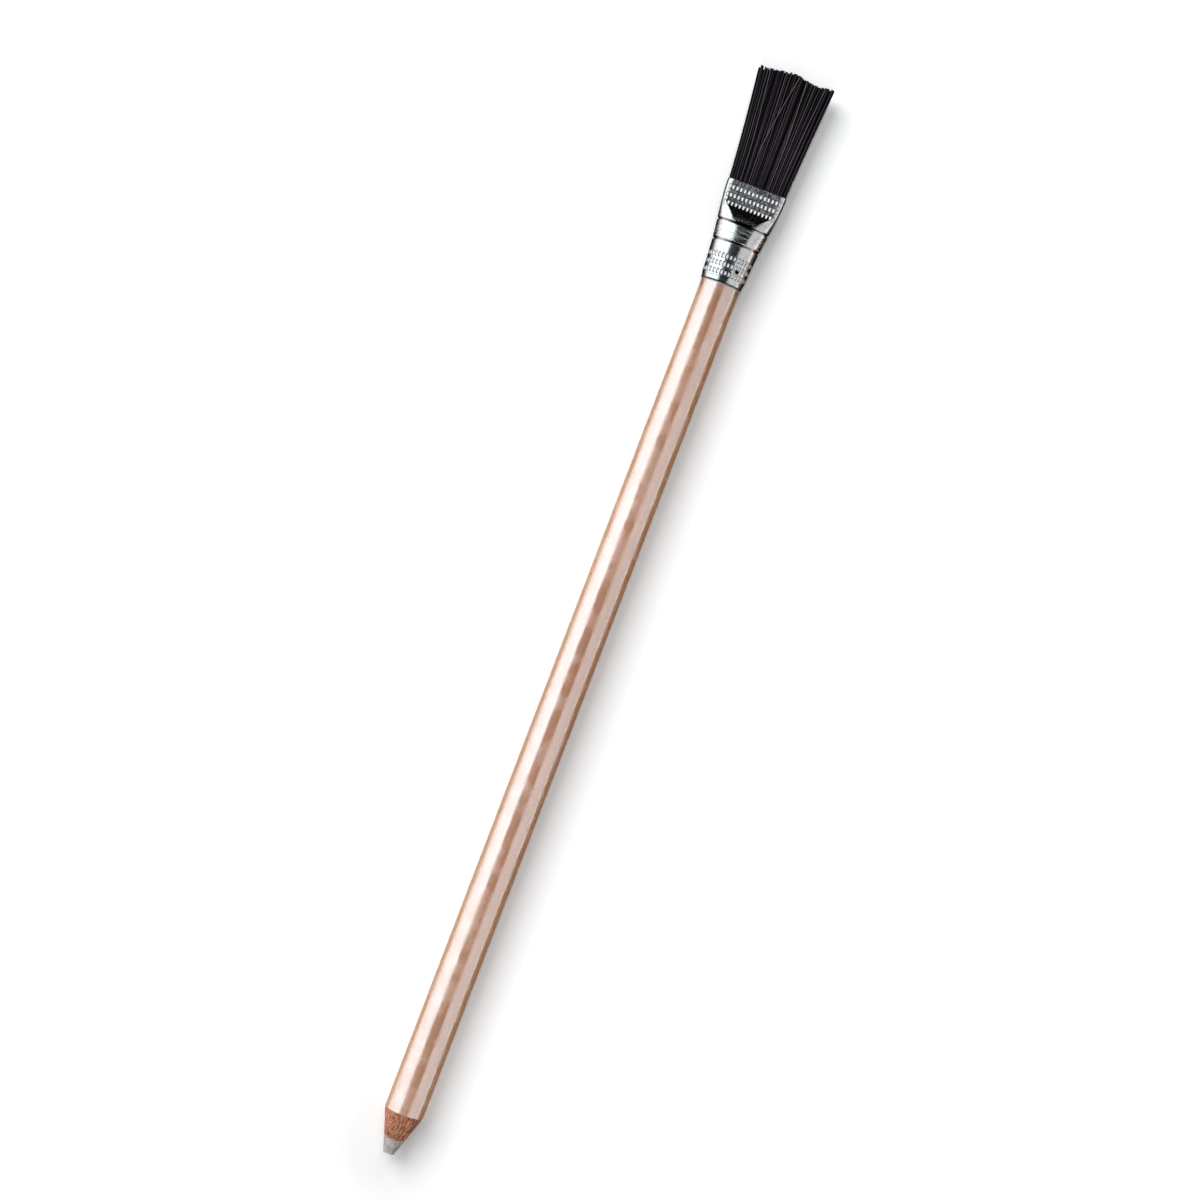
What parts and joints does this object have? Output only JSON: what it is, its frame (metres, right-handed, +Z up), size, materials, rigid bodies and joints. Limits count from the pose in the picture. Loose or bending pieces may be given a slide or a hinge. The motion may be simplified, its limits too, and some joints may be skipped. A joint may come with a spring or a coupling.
{
  "type": "typewriter eraser",
  "caption": "Wood-cased eraser pencil for typing errors: a pearl-lacquered cedar barrel sharpened to a grey abrasive eraser, with a flat dark brush in a dimpled metal ferrule.",
  "frame": {"origin": "On the table under the middle of the pencil's length, below its axis, as it lies on the collar of its ferrule.", "axes": "+X runs along the pencil from the eraser tip to the brush, +Y across the flat of the brush, and +Z up through the thickness of the brush."},
  "size_m": [0.2074, 0.0145, 0.0088],
  "materials": {
    "eraser_rubber": "matt, slightly gritty",
    "cedar_wood": "bare, freshly sharpened",
    "pearl_lacquer": "satin pearl lacquer",
    "plated_sheet": "bright plated sheet",
    "cement": "set resin",
    "bristle": "dark bristle with a slight sheen"
  },
  "bodies": {
    "root": {"eraser_core": "eraser_rubber", "upper_slat": "cedar_wood", "lower_slat": "cedar_wood", "lacquer_coat": "pearl_lacquer", "ferrule": "plated_sheet", "root_cement": "cement", "bristles": "bristle"}
  },
  "joints": []
}
